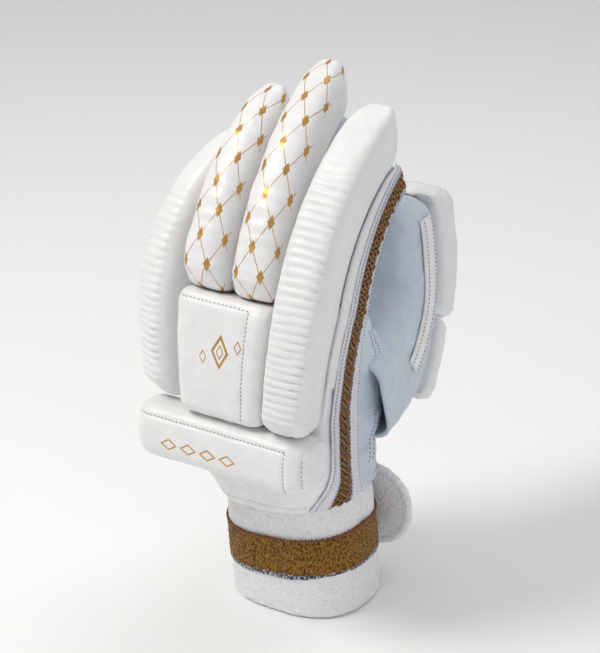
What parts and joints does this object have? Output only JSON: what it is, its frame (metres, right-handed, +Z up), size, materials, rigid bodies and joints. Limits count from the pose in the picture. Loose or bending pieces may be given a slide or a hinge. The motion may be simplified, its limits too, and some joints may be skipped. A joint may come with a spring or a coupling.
{
  "type": "cricket batting glove",
  "caption": "Left-hand batting glove: ribbed and printed padded finger rolls, curled leather fingers, a padded thumb, a mesh side strip and a banded towelling cuff.",
  "frame": {"origin": "middle of the bounding box in X and Y, at the cuff rim it stands on", "axes": "+Z up from the cuff to the fingertips, +X to the thumb side, +Y to the palm side, so the padded back faces -Y"},
  "size_m": [0.1226, 0.1806, 0.2954],
  "materials": {
    "brown_terry": "bronze-brown towelling",
    "elastic_tape": "white ribbed elastic",
    "pad_leather": "white leather over soft filling",
    "palm_leather": "soft matt palm leather, bluish white",
    "printed_pad": "white leather with a thin gold foil pattern, over soft filling",
    "side_net": "bronze-brown sports mesh",
    "terry": "white towelling",
    "white_leather": "smooth white glove leather with a fine grain"
  },
  "bodies": {
    "root": {"cuff": "terry", "cuff_band": "brown_terry", "cuff_tab": "terry", "roll_little": "pad_leather", "roll_ring": "printed_pad", "roll_middle": "printed_pad", "roll_index": "pad_leather", "back_panel": "pad_leather", "wrist_bar": "pad_leather", "stall_little": "palm_leather", "stall_ring": "palm_leather", "stall_middle": "palm_leather", "stall_index": "palm_leather", "hand_back": "white_leather", "palm": "palm_leather", "palm_patch": "palm_leather", "thumb_stall": "palm_leather", "thumb_gusset": "palm_leather", "thumb_pad_base": "pad_leather", "thumb_pad_tip": "pad_leather", "thumb_strip": "white_leather", "side_mesh": "side_net", "side_elastic_back": "elastic_tape", "side_elastic_palm": "elastic_tape", "welt_index": "white_leather", "welt_little": "white_leather"}
  },
  "joints": []
}
